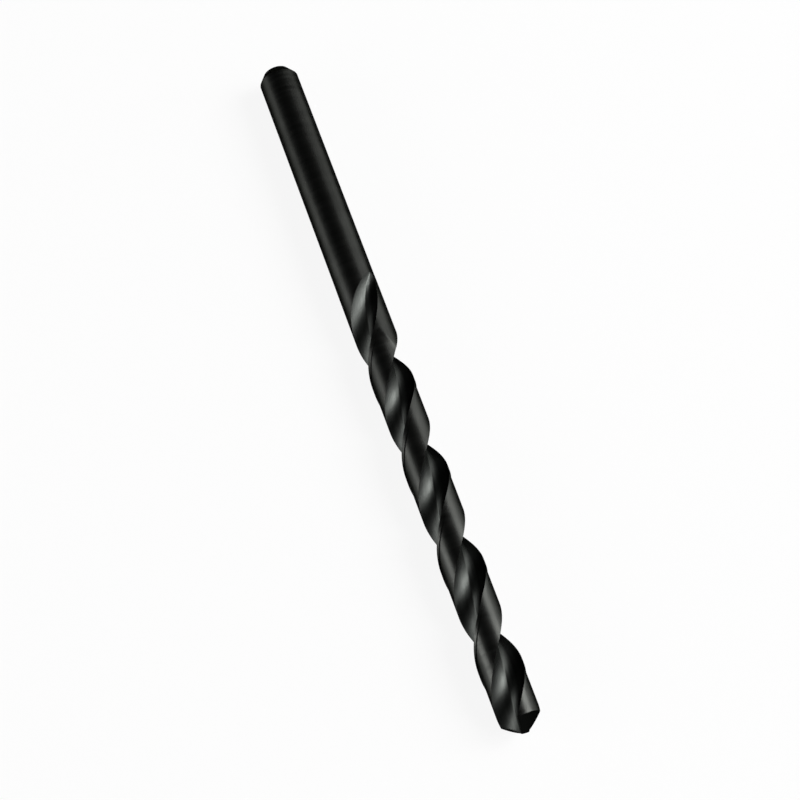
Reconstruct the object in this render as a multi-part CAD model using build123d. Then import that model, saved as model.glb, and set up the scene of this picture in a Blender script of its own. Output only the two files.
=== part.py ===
from build123d import *
import os
from math import asin, cos, degrees, pi, radians, sin, sqrt, tan

# A two-flute twist drill with a straight shank, ground from one bar of high-speed steel.
# The drill's axis is X. The shank starts at the origin and the point looks along +X.
# Angles around the axis are counted from +Y towards +Z, the way the helix turns as X grows.

# Driving dimensions, in millimetres and degrees
diameter = 5.159              # over the margins at the point, 13/64 in
back_taper = 0.03             # how much thinner the drill is where the flutes end, and its shank
overall_length = 92.1         # from the shank's end to the chisel edge, 3 5/8 in
flute_length = 59.2           # from the chisel edge back to the end of the run-out
lead = 24.45                  # axial length of one full turn of the helix
roll = 103.0                  # angle of one lip's outer corner around the axis

flute_angle = 102.5           # part of the circumference opened by each flute
web_at_point = 0.95           # thickness of the core at the point
web_growth = 0.0155           # extra core thickness for each millimetre towards the shank
wheel_radius = 17.5           # radius of the wheel that ground the flutes
run_out_lead = 31.0           # slower helix of the flutes' run-out, where that wheel backs off
rake_hook = 2.5               # how far the leading edge stands ahead of a straight lip's wall
hook_power = 4                # how closely that hook keeps to the leading edge
heel_start_direction = 130.0  # direction of the flute floor where it leaves the core
lift_direction = 45.0         # direction in which the wheel backs off the axis, ahead of the edge

body_clearance = 0.165        # how far the land behind the margin lies below the full diameter
margin_width = 0.34           # full-diameter strip along each leading edge
clearance_length = 51.3       # from the chisel edge back to the start of the body clearance
clearance_wheel_radius = 8.0  # radius of the wheel that ground it
clearance_skew = 3.0          # how much later that grinding starts at the heel than at the margin

point_angle = 118.0           # between the two lips
flank_cone_angle = 66.0       # apex angle of the cone that each flank is part of
flank_cone_reach = 5.9        # from that cone's apex to the chisel edge, along its side
lip_relief = 6.5              # turn of the flank cone about the lip

chamfer_width = 0.82          # radial size of the bevel on the shank's end
chamfer_length = 1.22         # axial size of that bevel

# Sizes that follow
radius = diameter / 2
shank_radius = radius - back_taper / 2
core_radius = web_at_point / 2
half_point = radians(point_angle / 2)
helix_slope = pi * diameter / lead
corner_x = overall_length - sqrt(radius ** 2 - core_radius ** 2) / tan(half_point)
flutes_end = overall_length - flute_length
margin_angle = degrees(margin_width / radius)
land_angle = 180 - flute_angle
clear_of_blank = 2.5 * radius     # cutters reach this far from the axis
past_point = 1.0                  # cutters start this far in front of the chisel edge
station_turn = 25.0               # degrees of helix between two sections of a cutter


def polar(distance, angle):
    """A point of a cross-section, at a distance from the axis and an angle in degrees."""
    return (distance * cos(radians(angle)), distance * sin(radians(angle)))


def section_plane(x, full_depth_x):
    """The cross-section plane at x, turned so that its own x axis meets the leading edge."""
    in_run_out = min(0.0, x - full_depth_x)
    turns = (x - in_run_out - corner_x) / lead + in_run_out / run_out_lead
    turn = radians(roll + 360 * turns)
    return Plane(origin=(x, 0, 0), x_dir=(0, cos(turn), sin(turn)), z_dir=(1, 0, 0))


def rake_angle(distance):
    """Angle ahead of the leading edge at which the flute wall stands, for a straight lip.

    The lip is a straight line that passes the axis at the core's radius. Turning each of its
    points along the helix into one cross-section gives the wall's true curve. The hook then
    carries the outer part of the wall forward to the leading edge.
    """
    along_lip = sqrt(max(0.0, distance ** 2 - core_radius ** 2))
    whole_lip = sqrt(radius ** 2 - core_radius ** 2)
    ahead = asin(core_radius / distance) - asin(core_radius / radius)
    turned_back = (whole_lip - along_lip) / tan(half_point) * helix_slope / radius
    return degrees(ahead - turned_back) - rake_hook * (1 - (distance / radius) ** hook_power)


def web_rise(x):
    """How much higher the flute's floor lies at x than at the point."""
    return web_growth / 2 * max(0.0, corner_x - x)


def wheel_lift(x, full_depth_x, wheel):
    """How far a round wheel of this radius has left its full depth at x."""
    past = min(wheel, max(0.0, full_depth_x - x))
    return wheel - sqrt(wheel ** 2 - past ** 2)


def flute_section(x, full_depth_x):
    """The area that the flute wheel clears at x: rake wall, floor on the core, heel wall."""
    wall = [polar(d * radius, rake_angle(d * radius)) for d in (1.0, 0.8, 0.6, 0.45, 0.33, 0.25, 0.2)]
    floor = polar(core_radius, rake_angle(core_radius))
    heel = polar(radius, flute_angle)
    outer_lead = (clear_of_blank, 0)
    outer_heel = polar(clear_of_blank, flute_angle)
    outline = [
        Line(outer_lead, wall[0]),
        Spline(*wall, floor, tangents=[(-1, -0.05), polar(1, heel_start_direction)]),
        TangentArc(floor, heel, tangent=polar(1, heel_start_direction)),
        Line(heel, outer_heel),
        Line(outer_heel, outer_lead),
    ]
    lift = web_rise(x) + wheel_lift(x, full_depth_x, wheel_radius)
    outward = polar(lift, lift_direction)
    return section_plane(x, full_depth_x) * Pos(*outward) * make_face(outline)


def clearance_section(x, full_depth_x):
    """The shallow area that is ground off the land at x, from the margin back past the heel."""
    angles = [-margin_angle, -margin_angle - land_angle / 2, -margin_angle - land_angle]
    floor = []
    for step, angle in enumerate(angles):
        full_depth_here = full_depth_x + clearance_skew * step / 2
        lift = wheel_lift(x, full_depth_here, clearance_wheel_radius)
        floor.append(polar(radius - body_clearance + lift, angle))
    far_side = [polar(clear_of_blank, angle) for angle in reversed(angles)]
    outline = [
        ThreePointArc(*floor),
        Line(floor[2], far_side[0]),
        ThreePointArc(*far_side),
        Line(far_side[2], floor[0]),
    ]
    return section_plane(x, full_depth_x) * make_face(outline)


def helical_cutter(section, full_depth_x, run_out):
    """Loft one kind of section from in front of the point back to the end of its run-out."""
    start = overall_length + past_point
    straight_steps = round((start - full_depth_x) / lead * 360 / station_turn)
    run_out_steps = round(run_out / lead * 360 / station_turn) + 1
    stations = [start + (full_depth_x - start) * i / straight_steps for i in range(straight_steps + 1)]
    stations += [full_depth_x - run_out * i / run_out_steps for i in range(1, run_out_steps + 1)]
    return loft([section(x, full_depth_x) for x in stations])


def run_out_length(depth, wheel):
    """Axial distance in which a round wheel rises by this depth."""
    return sqrt(wheel ** 2 - (wheel - depth) ** 2)


def blank():
    """The ground bar: bevelled end, cylindrical shank, and a body with its slight back taper."""
    profile = Polyline(
        (0, 0),
        (0, shank_radius - chamfer_width),
        (chamfer_length, shank_radius),
        (flutes_end, shank_radius),
        (overall_length, radius),
        (overall_length, 0),
        close=True,
    )
    return revolve(Plane.XY * make_face(profile), Axis.X)


def flank_waste():
    """What the point grinder takes off one side: all that lies outside that flank's cone."""
    lip_turn = radians(roll - degrees(asin(core_radius / radius)))
    forward = Vector(1, 0, 0)
    along_lip = Vector(0, cos(lip_turn), sin(lip_turn))
    ahead = Vector(0, -sin(lip_turn), cos(lip_turn))
    side = along_lip * sin(half_point) - forward * cos(half_point)
    face_out = along_lip * cos(half_point) + forward * sin(half_point)
    relief = radians(lip_relief)
    face_out = face_out * cos(relief) - ahead * sin(relief)
    half_cone = radians(flank_cone_angle / 2)
    cone_axis = side * cos(half_cone) - face_out * sin(half_cone)
    apex = Vector(overall_length, 0, 0) - side * flank_cone_reach
    cone_height = 12 * radius
    cone = Cone(cone_height * tan(half_cone), 0, cone_height, align=(Align.CENTER, Align.CENTER, Align.MAX))
    flank_cone = Plane(origin=apex, z_dir=cone_axis * -1) * cone
    waste_depth = 2 * radius
    nose = Plane.YZ.offset(overall_length - waste_depth) * Cylinder(
        1.2 * radius, waste_depth + past_point, align=(Align.CENTER, Align.CENTER, Align.MIN)
    )
    return nose - flank_cone


def twist_drill():
    last_depth = radius - core_radius - web_rise(flutes_end)
    flute_run_out = run_out_length(last_depth, wheel_radius)
    flute = helical_cutter(flute_section, flutes_end + flute_run_out, flute_run_out)
    clearance_run_out = run_out_length(body_clearance, clearance_wheel_radius)
    clearance_full = overall_length - clearance_length + clearance_run_out
    clearance = helical_cutter(clearance_section, clearance_full, clearance_run_out)
    body = blank()
    for cutter in (flute, clearance, flank_waste()):
        body -= cutter
        body -= Rot(180, 0, 0) * cutter
    return body


drill = twist_drill()
drill.label = "twist_drill"
os.makedirs("parts", exist_ok=True)
export_step(drill, "parts/twist_drill.step")
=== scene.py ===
"""A black-oxide twist drill lying on a pale floor, in soft studio light."""

import math
import bmesh
import bpy
import numpy as np
from mathutils import Matrix, Vector


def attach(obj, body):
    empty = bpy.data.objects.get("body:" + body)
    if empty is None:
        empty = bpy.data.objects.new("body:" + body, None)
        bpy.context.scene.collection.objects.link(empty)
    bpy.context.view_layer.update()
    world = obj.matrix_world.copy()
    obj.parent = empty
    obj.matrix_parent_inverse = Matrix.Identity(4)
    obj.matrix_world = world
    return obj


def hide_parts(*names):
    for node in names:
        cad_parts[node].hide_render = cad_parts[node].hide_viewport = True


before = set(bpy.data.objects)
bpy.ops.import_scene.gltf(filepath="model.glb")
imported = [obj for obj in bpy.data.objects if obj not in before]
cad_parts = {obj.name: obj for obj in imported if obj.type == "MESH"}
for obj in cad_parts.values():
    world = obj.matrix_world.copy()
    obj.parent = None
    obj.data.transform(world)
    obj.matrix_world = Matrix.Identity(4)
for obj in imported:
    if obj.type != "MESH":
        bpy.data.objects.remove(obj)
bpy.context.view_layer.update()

MM = 0.001

# The drill, in millimetres and degrees. Its axis is X, and angles are counted from +Y towards +Z.
RADIUS = 5.159 / 2
BACK_TAPER = 0.03             # how much thinner the bar is at the shank than at the point
LENGTH = 92.1
FLUTE_LENGTH = 59.2
LEAD = 24.45
RUN_OUT_LEAD = 31.0           # the slower helix in which the flutes run out
LIP_CORNER = 103.0            # angle of one lip's outer corner around the axis

FLUTE_ANGLE = 102.5           # part of the circumference opened by each flute
CORE = 0.95 / 2               # radius of the core at the point
WEB_GROWTH = 0.0155           # extra core thickness for each millimetre towards the shank
FLUTE_WHEEL = 17.5            # radius of the wheel that ground the flutes
RAKE_HOOK = 2.5               # how far forward the hook carries the rake wall's outer part
HOOK_POWER = 4
RAKE_KNOTS = (1.0, 0.8, 0.6, 0.45, 0.33, 0.25, 0.2)  # places on the rake wall, in radii
RAKE_EXIT_SLOPE = 0.05        # slope of the rake wall where it leaves the bar
HEEL_START = 130.0            # direction of the flute floor where it leaves the core
LIFT_DIRECTION = 45.0         # direction in which the wheel backs off, ahead of the leading edge

MARGIN_WIDTH = 0.34
CLEARANCE = 0.13              # how far the land behind the margin lies below the full diameter
CLEARANCE_LENGTH = 51.3
CLEARANCE_WHEEL = 2.5         # radius of the wheel that ground the clearance
CLEARANCE_SKEW = 3.0          # how much nearer the point it ends at the heel than at the margin
STEP_ANGLE = 0.35             # breadth of the step between margin and land

HALF_POINT = math.radians(118 / 2)
FLANK_CONE = math.radians(66 / 2)
FLANK_REACH = 5.9             # from the point to the apex of the cone that holds a flank
LIP_RELIEF = math.radians(6.5)

BEVEL_DEPTH = 0.82
BEVEL_LENGTH = 1.22

FLUTES_END = LENGTH - FLUTE_LENGTH
CLEARANCE_END = LENGTH - CLEARANCE_LENGTH
MARGIN_ANGLE = math.degrees(MARGIN_WIDTH / RADIUS)
LAND_ANGLE = 180 - FLUTE_ANGLE
CORNER_X = LENGTH - math.sqrt(RADIUS**2 - CORE**2) / math.tan(HALF_POINT)
END_DEPTH = RADIUS - CORE - WEB_GROWTH / 2 * (CORNER_X - FLUTES_END)


def run_out_length(depth, wheel):
    """Axial distance in which a round wheel rises by this depth."""
    return math.sqrt(wheel**2 - (wheel - depth) ** 2)


FULL_FLUTE = FLUTES_END + run_out_length(END_DEPTH, FLUTE_WHEEL)
FULL_CLEARANCE = CLEARANCE_END + run_out_length(CLEARANCE, CLEARANCE_WHEEL)

# Rows along the drill and columns across one half of its outline
SHANK_ROWS = 24
RUN_OUT_ROWS = 80
RUN_OUT_CROWDING = 1.6        # a power that crowds the run-out's rows towards its shallow end
BODY_ROWS = 280
POINT_ROWS = 14
POINT_STRETCH = 1.6           # length before the lip's corner where rows bend to meet the flanks
CAP_ROWS = 10
WALL, MARGIN, STEP, LAND, HEEL = 26, 4, 2, 40, 26

# The line across a flute, which the outline is cut from
CURVE_POINTS = 500
PAST_RAKE = 1.5               # how far it goes on straight past the rake wall, in radii
PAST_RAKE_START = 0.01
HEEL_TURN = 3.2               # how far round the heel wall's arc it goes, in openings of its chord

# Searches
JUST_INSIDE = 1e-4            # keeps the first row where the flute has some depth
PASSES = 12                   # repeats, more than a search needs to settle
PROBE = 1e-3                  # step that gives a slope
LONGEST_SLIDE = 0.05          # step of a point of the chisel edge in one pass
NO_HEIGHT = -1e9              # stands for a height on the cone's other half

# Joining of the grids
MERGE_DISTANCE = 0.0005
SLIVER = 0.0001
SHARP_ANGLE = 20

HALF_TURN = np.array([1, -1, -1])

# Finishes of the faces. The rake wall and flank values differ from the fluted finish only by
# painted shade in the colour, and the rake wall's painted shade comes in between these parts of the
# way up it.
GROUND, FLUTED, RAKE, FLANK = 0.0, 0.5, 0.8, 1.0
RAKE_SHADE_SPAN = (0.2, 0.45)


def polar(distance, angle):
    """Points of a cross-section, at distances from the axis and angles in degrees."""
    angle = np.radians(angle)
    return np.stack([distance * np.cos(angle), distance * np.sin(angle)], -1)


def angle_of(points):
    """Angle of each point of a cross-section, in degrees."""
    return np.degrees(np.arctan2(points[..., 1], points[..., 0]))


def wheel_lift(x, full_depth_x, wheel):
    """How far a round wheel has left its full depth at x: wheel - sqrt(wheel^2 - past^2).

    The past is how far x lies from the place of full depth, towards the shank.
    """
    past = np.clip(full_depth_x - x, 0, wheel)
    return wheel - np.sqrt(wheel**2 - past**2)


def rake_angle(distance):
    """Angle ahead of the leading edge of the flute wall at this distance from the axis.

    The lip is straight and passes the axis at the core's radius. Each of its points is turned back
    along the helix into one cross-section, and a small hook carries the outer part forward.
    """
    along_lip = np.sqrt(np.maximum(0, distance**2 - CORE**2))
    whole_lip = math.sqrt(RADIUS**2 - CORE**2)
    ahead = np.arcsin(np.minimum(1, CORE / distance)) - math.asin(CORE / RADIUS)
    turned_back = (whole_lip - along_lip) / math.tan(HALF_POINT) * 2 * math.pi / LEAD
    hook = RAKE_HOOK * (1 - (distance / RADIUS) ** HOOK_POWER)
    return np.degrees(ahead - turned_back) - hook


def clamped_spline(points, start, end, count):
    """Smooth curve through the points that leaves along start and arrives along end.

    Between two points it is a cubic of the chord length, and its second derivatives agree at each
    point.
    """
    chord = np.hypot(*np.diff(points, axis=0).T)
    knots = np.concatenate([[0], np.cumsum(chord)])
    slope = np.diff(points, axis=0) / chord[:, None]
    inner = np.arange(1, len(points) - 1)
    system = np.eye(len(points))
    system[inner, inner - 1] = chord[1:]
    system[inner, inner] = 2 * (chord[:-1] + chord[1:])
    system[inner, inner + 1] = chord[:-1]
    bend = 3 * (chord[1:, None] * slope[:-1] + chord[:-1, None] * slope[1:])
    tangent = np.linalg.solve(system, np.vstack([start, bend, end]))
    at = np.linspace(0, knots[-1], count)
    i = np.clip(np.searchsorted(knots, at, side="right") - 1, 0, len(chord) - 1)
    h = chord[i][:, None]
    t = (at[:, None] - knots[i][:, None]) / h
    return (
        (1 + 2 * t) * (1 - t) ** 2 * points[i]
        + t * (1 - t) ** 2 * h * tangent[i]
        + t**2 * (3 - 2 * t) * points[i + 1]
        + t**2 * (t - 1) * h * tangent[i + 1]
    )


def flute_curve():
    """One fine line across the flute, in over the heel wall and out over the rake wall.

    The rake wall is a spline that goes on straight, and the heel wall an arc that leaves the floor
    in the heel's start direction and meets the circumference at the flute's angle.
    """
    reach = np.array(RAKE_KNOTS) * RADIUS
    floor = polar(CORE, rake_angle(np.array(CORE)))
    points = np.vstack([floor, polar(reach, rake_angle(reach))[::-1]])
    leaving = polar(1.0, HEEL_START)
    arriving = np.array([1, RAKE_EXIT_SLOPE]) / math.hypot(1, RAKE_EXIT_SLOPE)
    wall = clamped_spline(points, -leaving, arriving, CURVE_POINTS)
    past = np.linspace(PAST_RAKE_START, PAST_RAKE * RADIUS, CURVE_POINTS // 2)[:, None]
    chord = polar(RADIUS, FLUTE_ANGLE) - floor
    opening = math.atan2(leaving[0] * chord[1] - leaving[1] * chord[0], leaving @ chord)
    arc_radius = np.hypot(*chord) / 2 / math.sin(opening)
    centre = floor + np.array([-leaving[1], leaving[0]]) * arc_radius
    turn = np.linspace(0, HEEL_TURN * opening, CURVE_POINTS)[:, None]
    spoke = floor - centre
    across = np.array([-spoke[1], spoke[0]])
    arc = centre + (spoke * np.cos(turn) + across * np.sin(turn))
    return np.vstack([arc[::-1], wall[1:], wall[-1] + arriving * past])


FLUTE = flute_curve()
FLUTE_FLOOR = CURVE_POINTS - 1


def blank_radius(x):
    """The ground bar, thinner by the back taper from the point to the end of the flutes."""
    return RADIUS - BACK_TAPER / 2 * np.clip((LENGTH - x) / (LENGTH - FLUTES_END), 0, 1)


def land_radius(angle, x):
    """The land behind the margin: the bar less the clearance, which fades out towards the shank."""
    back = np.clip((-MARGIN_ANGLE - angle) / LAND_ANGLE, 0, 1)
    lift = wheel_lift(x, FULL_CLEARANCE + CLEARANCE_SKEW * back, CLEARANCE_WHEEL)
    return np.minimum(blank_radius(x), RADIUS - np.maximum(CLEARANCE - lift, 0))


def crossing(gap):
    """Fractional column at which each row of gaps first turns from negative to positive."""
    rows = np.arange(len(gap))
    k = np.maximum(np.argmax(gap > 0, axis=1), 1)
    before, after = gap[rows, k - 1], gap[rows, k]
    return k - 1 + np.clip(-before / np.where(after == before, 1, after - before), 0, 1)


def along(curve, place):
    """Points of a polyline at fractional indices."""
    i = np.clip(np.floor(place).astype(int), 0, len(curve) - 2)
    f = (place - i)[..., None]
    return curve[i] * (1 - f) + curve[i + 1] * f


def half_outline(x):
    """One half of the cross-section at each x, in the frame that turns with the leading edge.

    It runs from the flute's floor up the rake wall, over the corner, the margin, the step and the
    land, round the heel's corner and down the other flute's heel wall to that flute's floor.
    """
    rise = WEB_GROWTH / 2 * np.maximum(0, CORNER_X - x) + wheel_lift(x, FULL_FLUTE, FLUTE_WHEEL)
    shift = rise[:, None] * polar(1.0, LIFT_DIRECTION)
    points = FLUTE[None] + shift[:, None]
    reach = np.hypot(points[..., 0], points[..., 1])
    angle = angle_of(points)
    deepest = np.argmin(reach, axis=1)[:, None]
    column = np.arange(len(FLUTE))[None]
    at_wall = crossing(np.where(column > deepest, reach - blank_radius(x)[:, None], -1))
    behind = np.where(angle < 0, angle + 360, angle) - 180
    past_heel = np.where(column < deepest, reach - land_radius(behind, x[:, None]), -1)
    at_heel = len(FLUTE) - 1 - crossing(past_heel[:, ::-1])
    quarter = (at_wall - at_heel) / 4
    middle = np.clip(FLUTE_FLOOR, at_heel + quarter, at_wall - quarter)[:, None]
    share = np.linspace(0, 1, WALL + 1)
    wall = along(FLUTE, middle + (at_wall[:, None] - middle) * share) + shift[:, None]
    share = np.linspace(0, 1, HEEL + 1)
    heel = along(FLUTE, middle + (at_heel[:, None] - middle) * share) + shift[:, None]
    heel_angle = angle_of(heel[:, -1])
    heel_angle = (np.where(heel_angle < 0, heel_angle + 360, heel_angle) - 180)[:, None]
    wall_angle = angle_of(wall[:, -1])[:, None]
    angle = wall_angle + (-MARGIN_ANGLE - wall_angle) * np.linspace(0, 1, MARGIN + 1)
    margin = polar(blank_radius(x)[:, None] + 0 * angle, angle)
    angle = -MARGIN_ANGLE - STEP_ANGLE
    angle = angle + (heel_angle - angle) * np.linspace(0, 1, LAND + 1)
    land = polar(land_radius(angle, x[:, None]), angle)
    share = np.linspace(0, 1, STEP + 1)[None, 1:-1, None]
    step = margin[:, -1:] * (1 - share) + land[:, :1] * share
    return np.concatenate([wall[:, :-1], margin, step, land, -heel[:, -2::-1]], 1)


def helix_turn(x):
    """Angle of the leading edge at x, in degrees, with a slower helix in the flutes' run-out."""
    in_run_out = np.minimum(0, x - FULL_FLUTE)
    return LIP_CORNER + 360 * ((x - in_run_out - CORNER_X) / LEAD + in_run_out / RUN_OUT_LEAD)


def on_helix(x, outline):
    """Turns cross-section points with the helix and puts them at x."""
    turn = np.radians(helix_turn(x))
    y = outline[..., 0] * np.cos(turn) - outline[..., 1] * np.sin(turn)
    z = outline[..., 0] * np.sin(turn) + outline[..., 1] * np.cos(turn)
    return np.stack([x, y, z], -1)


def half_skin(x):
    """Points of one half of the body on a grid whose x is given for each row and column."""
    columns = np.arange(x.shape[1])
    each = half_outline(x.ravel()).reshape(*x.shape, -1, 2)
    return on_helix(x, each[:, columns, columns])


def flank(y, z):
    """Height of one ground flank over the cross-section: a cone whose side holds the lip.

    The cone's axis lies behind the lip, turned by the relief, and its apex is beyond the drill's
    axis. The height solves (p . axis)^2 = |p|^2 cos^2(half angle), with p counted from the apex.
    """
    lip = math.radians(LIP_CORNER) - math.asin(CORE / RADIUS)
    forward = np.array([1.0, 0, 0])
    along_lip = np.array([0, math.cos(lip), math.sin(lip)])
    ahead = np.array([0, -math.sin(lip), math.cos(lip)])
    side = along_lip * math.sin(HALF_POINT) - forward * math.cos(HALF_POINT)
    face = along_lip * math.cos(HALF_POINT) + forward * math.sin(HALF_POINT)
    face = face * math.cos(LIP_RELIEF) - ahead * math.sin(LIP_RELIEF)
    axis = side * math.cos(FLANK_CONE) - face * math.sin(FLANK_CONE)
    apex = np.array([LENGTH, 0, 0]) - side * FLANK_REACH
    y = y - apex[1]
    z = z - apex[2]
    squared = math.cos(FLANK_CONE) ** 2
    across = y * axis[1] + z * axis[2]
    a = squared - axis[0] ** 2
    b = -2 * axis[0] * across
    c = squared * (y**2 + z**2) - across**2
    root = np.sqrt(np.maximum(b**2 - 4 * a * c, 0))
    both = np.stack([(-b + root) / (2 * a), (-b - root) / (2 * a)])
    return apex[0] + np.where(both * axis[0] + across > 0, both, NO_HEIGHT).max(0)


def point_height(y, z):
    """The drill's point: the lower of its two flanks."""
    return np.minimum(flank(y, z), flank(-y, -z))


def body_half():
    """One half of the fluted body as a grid: run-out, full flutes, rows that bend to the flanks."""
    to_full = np.linspace(0, 1, RUN_OUT_ROWS) ** RUN_OUT_CROWDING
    run_out = FLUTES_END + JUST_INSIDE + (FULL_FLUTE - FLUTES_END) * to_full
    before_point = CORNER_X - POINT_STRETCH
    rows = np.concatenate([run_out, np.linspace(FULL_FLUTE, before_point, BODY_ROWS)[1:]])
    outline = half_outline(rows)
    straight = on_helix(rows[:, None] + 0 * outline[..., 0], outline)
    edge = np.full((1, outline.shape[1]), CORNER_X)
    for _ in range(PASSES):
        at_edge = half_skin(edge)
        edge = point_height(at_edge[..., 1], at_edge[..., 2])
    share = np.linspace(0, 1, POINT_ROWS + 1)[1:, None]
    return np.concatenate([straight, half_skin(before_point + (edge - before_point) * share)])


def grid_quads(rows, columns, flip=False):
    """Quads of a grid of points, wound so that they face outwards."""
    corner = (np.arange(rows - 1)[:, None] * columns + np.arange(columns - 1)).ravel()
    quads = np.stack([corner, corner + columns, corner + columns + 1, corner + 1], -1)
    return quads[:, ::-1] if flip else quads


def cap_half(rim):
    """One flank as a grid from the chisel edge out to its half of the rim.

    The chisel edge is where both flanks are equally high. It is found by sliding points of the
    straight line between the rim's two ends sideways until they are.
    """
    start, end = rim[0, 1:], rim[-1, 1:]
    share = np.linspace(0, 1, len(rim))[:, None]
    line = start + (end - start) * share
    sideways = np.array([start[1] - end[1], end[0] - start[0]]) / np.hypot(*(end - start))
    inside = (share[:, 0] > 0) & (share[:, 0] < 1)
    slide = np.zeros(len(rim))

    def difference(offset):
        """How much higher one flank is than the other, at this slide of each point."""
        y, z = (line + sideways * offset[:, None]).T
        return flank(y, z) - flank(-y, -z)

    for _ in range(PASSES):
        here = difference(slide)
        slope = (difference(slide + PROBE) - here) / PROBE
        step = here / np.where(slope == 0, 1, slope)
        slide = slide - inside * np.clip(step, -LONGEST_SLIDE, LONGEST_SLIDE)
    chisel = line + sideways * slide[:, None]
    share = np.linspace(0, 1, CAP_ROWS + 1)[:, None, None]
    yz = chisel * (1 - share) + rim[None, :, 1:] * share
    grid = np.concatenate([point_height(yz[..., 0], yz[..., 1])[..., None], yz], -1)
    grid[-1] = rim
    return grid


def point_caps(rim):
    """Both flanks. The rim is split where they are equally high, at two places near the axis."""
    gap = flank(rim[:, 1], rim[:, 2]) - flank(-rim[:, 1], -rim[:, 2])
    changes = np.sign(gap) != np.sign(np.roll(gap, -1))
    reach = np.hypot(rim[:, 1], rim[:, 2])
    first = int(np.argmin(np.where(changes, reach, np.inf)))
    if abs(gap[(first + 1) % len(rim)]) < abs(gap[first]):
        first = (first + 1) % len(rim)
    half = len(rim) // 2
    arcs = [(first + start + np.arange(half + 1)) % len(rim) for start in (0, half)]
    return [cap_half(rim[arc]) for arc in arcs]


def shank(ring):
    """The bevelled shank as rings round the axis, from its end's centre to the flutes."""
    ring = np.vstack([ring, ring[:1]])
    angle = np.arctan2(ring[:, 2], ring[:, 1])
    full = RADIUS - BACK_TAPER / 2
    x = np.array([0, 0, BEVEL_LENGTH, *np.linspace(BEVEL_LENGTH, FLUTES_END, SHANK_ROWS)[1:]])
    reach = np.array([0, full - BEVEL_DEPTH, *[full] * SHANK_ROWS])
    yz = [reach[:, None] * np.cos(angle), reach[:, None] * np.sin(angle)]
    grid = np.stack([x[:, None] + 0 * angle, *yz], -1)
    grid[-1] = ring
    return grid


def merge_points(mesh, distance):
    """Joins points nearer than this many millimetres, and takes out slivers."""
    merged = bmesh.new()
    merged.from_mesh(mesh)
    bmesh.ops.remove_doubles(merged, verts=merged.verts, dist=distance * MM)
    bmesh.ops.dissolve_degenerate(merged, edges=merged.edges, dist=SLIVER * MM)
    merged.to_mesh(mesh)
    merged.free()


def mesh_of(name, grids):
    """One closed mesh of grids of points in millimetres, with their winding and columns' finish.

    The finish, which also marks painted shade on the outer rake walls and the flanks, is kept on
    the faces. The points keep their place in the turning frame of the helix, in millimetres, so
    that lines left by the flute wheel can follow the flutes.
    """
    corners, quads, finishes_and_shades, count = [], [], [], 0
    for grid, flip, finish_and_shade in grids:
        rows, columns = grid.shape[:2]
        corners.append(grid.reshape(-1, 3))
        quads.append(grid_quads(rows, columns, flip) + count)
        finishes_and_shades.append(np.tile(np.broadcast_to(finish_and_shade, columns - 1), rows - 1))
        count += rows * columns
    mesh = bpy.data.meshes.new(name)
    mesh.from_pydata((np.vstack(corners) * MM).tolist(), [], np.vstack(quads).tolist())
    layer = mesh.attributes.new("finish_and_shade", "FLOAT", "FACE")
    layer.data.foreach_set("value", np.concatenate(finishes_and_shades))
    merge_points(mesh, MERGE_DISTANCE)
    place = np.empty(3 * len(mesh.vertices), np.float32)
    mesh.vertices.foreach_get("co", place)
    x, y, z = place.reshape(-1, 3).T / MM
    turn = -np.radians(helix_turn(x))
    untwisted = np.stack(
        [x, y * np.cos(turn) - z * np.sin(turn), y * np.sin(turn) + z * np.cos(turn)], -1
    )
    layer = mesh.attributes.new("untwisted", "FLOAT_VECTOR", "POINT")
    layer.data.foreach_set("vector", untwisted.astype(np.float32).ravel())
    mesh.shade_smooth()
    mesh.set_sharp_from_angle(angle=math.radians(SHARP_ANGLE))
    return mesh


def drill_body():
    """The whole drill as one mesh: both halves of the body, the shank and the two flanks."""
    half = body_half()
    other = half * HALF_TURN
    rim = np.vstack([half[-1, :-1], other[-1, :-1]])
    ring = np.vstack([half[0, :-1], other[0, :-1]])
    # The outer part of the rake wall and the flanks get darker tones, which are painted shade.
    wall = np.interp(np.arange(WALL) / WALL, RAKE_SHADE_SPAN, (FLUTED, RAKE))
    outside = np.full(MARGIN + STEP + LAND, GROUND)
    finish_and_shade = np.concatenate([wall, outside, np.full(HEEL, FLUTED)])
    grids = [(half, False, finish_and_shade), (other, False, finish_and_shade), (shank(ring), False, GROUND)]
    grids += [(cap, True, FLANK) for cap in point_caps(rim)]
    body = bpy.data.objects.new("drill_body", mesh_of("drill_body", grids))
    bpy.context.collection.objects.link(body)
    return body


# Tones of the oxide on each finish. The rake wall's and the flank's are darker as painted shade,
# standing in for a dark reflection.
GROUND_TONE = "#3e3f3d"
FLUTED_TONE = "#414341"
# painted shade: the outer rake wall is darkened for the shade and dark reflection it shows
RAKE_PAINTED_SHADE_TONE = "#1e1f1e"
# painted shade: the flanks are darkened for the dark reflection they show
FLANK_PAINTED_SHADE_TONE = "#161716"
STAIN = 0.12                  # how much the tone wanders either way
STAINS_PER_MM = 0.35

# Roughness, and the lines left by grinding
GROUND_ROUGHNESS = 0.34
FLUTED_ROUGHNESS = 0.42
UNEVEN_ROUGHNESS = 0.05       # how much it wanders either way
LINES_PER_MM = 5.0            # across the lines, so each is 0.2 mm wide
ALONG_RING_PER_MM = 0.15
ALONG_HELIX_PER_MM = 0.12
LINE_DEPTH = 0.004
LINE_STRENGTH = 0.35
NOISE = {"From Min": 0.3, "From Max": 0.7}  # the range that holds most of a noise

PAPER_TONE = "#f2f2f2"
PAPER_GLOW = 0.9              # part of the paper that shows as plain white


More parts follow.
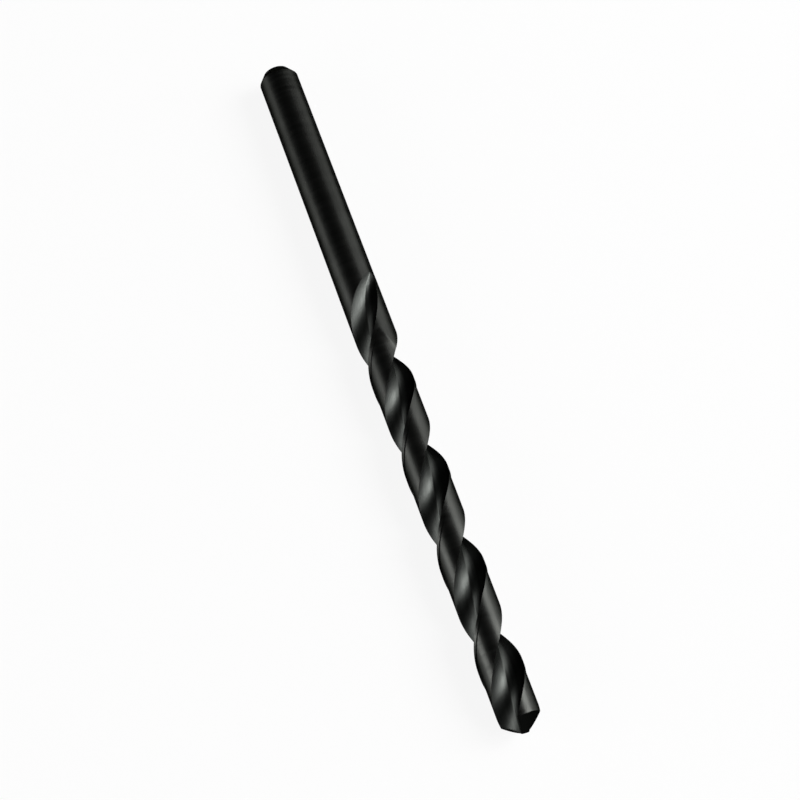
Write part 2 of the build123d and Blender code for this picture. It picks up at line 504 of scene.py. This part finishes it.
def linear(hex_colour):
    """sRGB hex to linear RGBA: the 2.4 power of each channel, and a straight line near black."""
    parts = [int(hex_colour[i : i + 2], 16) / 255 for i in (1, 3, 5)]
    return (*[c / 12.92 if c <= 0.04045 else ((c + 0.055) / 1.055) ** 2.4 for c in parts], 1)


def node(tree, kind, values=(), links=(), **settings):
    """Adds a shader node with its settings, the values of its sockets and the links into them."""
    made = tree.nodes.new(kind)
    for name, value in settings.items():
        setattr(made, name, value)
    for socket, value in dict(values).items():
        made.inputs[socket].default_value = value
    for socket, source in dict(links).items():
        tree.links.new(source, made.inputs[socket])
    return made


def new_material(name):
    """An empty material and its node tree."""
    material = bpy.data.materials.new(name)
    material.use_nodes = True
    material.node_tree.nodes.clear()
    return material, material.node_tree


def black_oxide_steel():
    """High-speed steel, ground and then steam-blackened.

    The oxide is a thin dark skin, so it mirrors softly and darkens at a slant. It is smoothest on
    the ground outside, where faint rings are left by the grinding, and a little rougher in the
    flutes, whose lines follow the helix. Its colour is darkened as painted shade on the outer rake
    walls and the flanks, standing in for the shade and dark reflection there. The lines are drawn a
    few times as coarse as real ones, about 0.2 mm apart, so that they show.
    """
    material, tree = new_material("black_oxide_high_speed_steel")
    finish_and_shade = node(tree, "ShaderNodeAttribute", attribute_name="finish_and_shade")
    helix = node(tree, "ShaderNodeAttribute", attribute_name="untwisted")
    place = node(tree, "ShaderNodeTexCoord")
    rings = node(
        tree,
        "ShaderNodeMapping",
        {"Scale": (LINES_PER_MM / MM, ALONG_RING_PER_MM / MM, ALONG_RING_PER_MM / MM)},
        {"Vector": place.outputs["Object"]},
    )
    lines = node(
        tree,
        "ShaderNodeMapping",
        {"Scale": (ALONG_HELIX_PER_MM, LINES_PER_MM, LINES_PER_MM)},
        {"Vector": helix.outputs["Vector"]},
    )
    fluted = node(
        tree,
        "ShaderNodeMath",
        {1: (GROUND + FLUTED) / 2},
        {0: finish_and_shade.outputs["Fac"]},
        operation="GREATER_THAN",
    )
    lay = node(
        tree,
        "ShaderNodeMix",
        links={"Factor": fluted.outputs[0], 4: rings.outputs[0], 5: lines.outputs[0]},
        data_type="VECTOR",
    )
    grain = node(
        tree, "ShaderNodeTexNoise", {"Scale": 1.0, "Detail": 3.0}, {"Vector": lay.outputs[1]}
    )
    cloud = node(
        tree,
        "ShaderNodeTexNoise",
        {"Scale": STAINS_PER_MM / MM, "Detail": 2.0},
        {"Vector": place.outputs["Object"]},
    )
    # The ramp's rake and flank tones are painted shade, darker than the oxide elsewhere.
    tone = node(tree, "ShaderNodeValToRGB", links={"Fac": finish_and_shade.outputs["Fac"]})
    ramp = tone.color_ramp.elements
    ramp[0].color = linear(GROUND_TONE)
    ramp[1].color = linear(FLANK_PAINTED_SHADE_TONE)
    ramp.new(FLUTED).color = linear(FLUTED_TONE)
    ramp.new(RAKE).color = linear(RAKE_PAINTED_SHADE_TONE)
    stain = node(
        tree,
        "ShaderNodeMapRange",
        {**NOISE, "To Min": 1 - STAIN, "To Max": 1 + STAIN},
        {"Value": cloud.outputs["Fac"]},
    )
    colour = node(
        tree,
        "ShaderNodeVectorMath",
        links={0: tone.outputs["Color"], "Scale": stain.outputs[0]},
        operation="SCALE",
    )
    gloss = node(
        tree,
        "ShaderNodeMapRange",
        {
            "From Min": GROUND,
            "From Max": FLUTED,
            "To Min": GROUND_ROUGHNESS,
            "To Max": FLUTED_ROUGHNESS,
        },
        {"Value": finish_and_shade.outputs["Fac"]},
    )
    uneven = node(
        tree,
        "ShaderNodeMapRange",
        {**NOISE, "To Min": -UNEVEN_ROUGHNESS, "To Max": UNEVEN_ROUGHNESS},
        {"Value": grain.outputs["Fac"]},
    )
    roughness = node(
        tree, "ShaderNodeMath", links={0: gloss.outputs[0], 1: uneven.outputs[0]}, operation="ADD"
    )
    bump = node(
        tree,
        "ShaderNodeBump",
        {"Strength": LINE_STRENGTH, "Distance": LINE_DEPTH * MM},
        {"Height": grain.outputs["Fac"]},
    )
    surface = node(
        tree,
        "ShaderNodeBsdfPrincipled",
        {"Metallic": 1.0, "Specular Tint": linear("#000000")},
        {
            "Base Color": colour.outputs[0],
            "Roughness": roughness.outputs[0],
            "Normal": bump.outputs[0],
        },
    )
    node(tree, "ShaderNodeOutputMaterial", links={"Surface": surface.outputs[0]})
    return material


def white_paper():
    """Matt white studio paper, which the lens and mirrors see nearly white with a faint shadow."""
    material, tree = new_material("matt_white_paper")
    paper = node(tree, "ShaderNodeBsdfDiffuse", {"Color": linear(PAPER_TONE)})
    glow = node(tree, "ShaderNodeEmission", {"Color": (1, 1, 1, 1), "Strength": 1.0})
    ray = node(tree, "ShaderNodeLightPath")
    seen = ray.outputs["Is Camera Ray"]
    for other in ("Is Glossy Ray", "Is Transmission Ray"):
        either = node(
            tree, "ShaderNodeMath", links={0: seen, 1: ray.outputs[other]}, operation="MAXIMUM"
        )
        seen = either.outputs[0]
    share = node(tree, "ShaderNodeMath", {1: PAPER_GLOW}, {0: seen}, operation="MULTIPLY")
    mixed = node(
        tree,
        "ShaderNodeMixShader",
        links={0: share.outputs[0], 1: paper.outputs[0], 2: glow.outputs[0]},
    )
    node(tree, "ShaderNodeOutputMaterial", links={"Surface": mixed.outputs[0]})
    return material


drill = drill_body()
drill.data.materials.append(black_oxide_steel())
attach(drill, "root")
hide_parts("twist_drill")

# The paper under the resting drill, turned up into a low rim all round, in metres
PAPER_FLAT = 1.4
PAPER_BEND = 0.2
PAPER_RIM = 0.45
PAPER_BEND_ROWS = 12
PAPER_COLUMNS = 97
PAPER_MERGE = 0.01            # millimetres


def paper_sweep():
    """A profile carried round a circle: flat to the bend, a quarter circle up, a straight rim."""
    bend = np.linspace(0, math.pi / 2, PAPER_BEND_ROWS)
    reach = np.concatenate(
        [[0], PAPER_FLAT + PAPER_BEND * np.sin(bend), [PAPER_FLAT + PAPER_BEND]]
    )
    height = np.concatenate([[0], PAPER_BEND * (1 - np.cos(bend)), [PAPER_RIM]]) - RADIUS * MM
    around = np.linspace(0, 2 * math.pi, PAPER_COLUMNS)
    xy = [reach[:, None] * np.cos(around), reach[:, None] * np.sin(around)]
    grid = np.stack([*xy, height[:, None] + 0 * around], -1)
    quads = grid_quads(len(reach), len(around))
    mesh = bpy.data.meshes.new("paper_sweep")
    mesh.from_pydata(grid.reshape(-1, 3).tolist(), [], quads.tolist())
    merge_points(mesh, PAPER_MERGE)
    mesh.shade_smooth()
    return mesh


floor = bpy.data.objects.new("floor", paper_sweep())
floor.data.materials.append(white_paper())
bpy.context.collection.objects.link(floor)

# Two banks of soft boxes that face the middle of the flutes, each brighter towards its own middle.
# Each has a name, an angle round the drill from +Z towards +Y, the part of its direction that is
# along the axis, its length and breadth in metres, and its radiance.
SOFT_BOXES = (
    ("right_middle", 58, 0.20, 0.22, 1.10, 8.0),
    ("right_low", 50, 0.00, 0.20, 0.55, 15.2),
    ("right_rear", 52, -0.22, 0.24, 0.62, 3.4),
    ("right_far", 62, -0.45, 0.24, 1.00, 0.95),
    ("right_front", 50, 0.48, 0.34, 0.36, 4.5),
    ("left_middle", -77, 0.30, 0.40, 0.46, 4.9),
    ("left_rear", -76, -0.22, 0.24, 0.60, 5.0),
)
LAMP_DISTANCE = 1.0
LAMP_AIM = Vector((0.065, 0, 0))
WORLD_STRENGTH = 0.02


def around_drill(azimuth, axial):
    """Direction with this part along +X and this angle round the axis, from +Z towards +Y."""
    across = math.sqrt(1 - axial**2)
    azimuth = math.radians(azimuth)
    return Vector((axial, across * math.sin(azimuth), across * math.cos(azimuth)))


def soft_lamp(name, azimuth, axial, length, breadth, radiance):
    """A rectangular soft box that faces the drill, with its length along the drill's axis.

    Its power is the radiance times pi times its area.
    """
    towards = around_drill(azimuth, axial)
    light = bpy.data.lights.new(name, "AREA")
    light.shape = "RECTANGLE"
    light.size = length
    light.size_y = breadth
    light.energy = radiance * math.pi * length * breadth
    lamp = bpy.data.objects.new(name, light)
    side = Vector((1, 0, 0))
    side = (side - towards * side.dot(towards)).normalized()
    turned = Matrix((side, towards.cross(side), towards)).transposed().to_4x4()
    lamp.matrix_world = Matrix.Translation(LAMP_AIM + towards * LAMP_DISTANCE) @ turned
    bpy.context.collection.objects.link(lamp)


for soft_box in SOFT_BOXES:
    soft_lamp(*soft_box)

world = bpy.data.worlds.new("dim_studio")
bpy.context.scene.world = world
world.use_nodes = True
world.node_tree.nodes["Background"].inputs["Color"].default_value = (1, 1, 1, 1)
world.node_tree.nodes["Background"].inputs["Strength"].default_value = WORLD_STRENGTH

# Camera: the drill leans to the left of upright in the image, with its point near and low
IMAGE = 800                    # pixels on a side
FOCAL = 1689.7                 # focal length in those pixels
LEAN = math.radians(20.727)    # of the drill's axis from upright in the image
TILT = math.radians(23.638)    # of the drill's axis out of the image's plane
TURN = math.radians(9.025)     # of the drill about its axis
POINT_AT = (525.649, 733.225)  # the chisel edge in the image, from its upper left corner
POINT_DISTANCE = 184.218 * MM  # of the chisel edge from the lens, along the view's own axis
SENSOR_WIDTH = 36
CLIP_START = 0.01


def studio_camera():
    """Camera whose image axes are right, down and forward, placed by where the point shows."""
    up_drill = Vector(
        (-math.sin(LEAN) * math.cos(TILT), -math.cos(LEAN) * math.cos(TILT), math.sin(TILT))
    )
    across = Vector((math.cos(LEAN), -math.sin(LEAN), 0))
    towards = up_drill.cross(across)
    drill_x = -up_drill
    drill_y = math.cos(TURN) * across + math.sin(TURN) * towards
    drill_z = math.sin(TURN) * across - math.cos(TURN) * towards
    right, down, forward = Matrix((drill_x, drill_y, drill_z)).transposed()
    half = IMAGE / 2
    tip = Vector(((POINT_AT[0] - half) / FOCAL, (POINT_AT[1] - half) / FOCAL, 1)) * POINT_DISTANCE
    place = Vector((LENGTH * MM, 0, 0)) - right * tip.x - down * tip.y - forward * tip.z
    data = bpy.data.cameras.new("camera")
    data.sensor_width = SENSOR_WIDTH
    data.lens = FOCAL / IMAGE * data.sensor_width
    data.clip_start = CLIP_START
    camera = bpy.data.objects.new("camera", data)
    turned = Matrix((right, -down, -forward)).transposed().to_4x4()
    camera.matrix_world = Matrix.Translation(place) @ turned
    bpy.context.collection.objects.link(camera)
    return camera


scene = bpy.context.scene
scene.camera = studio_camera()
scene.view_settings.view_transform = "Standard"
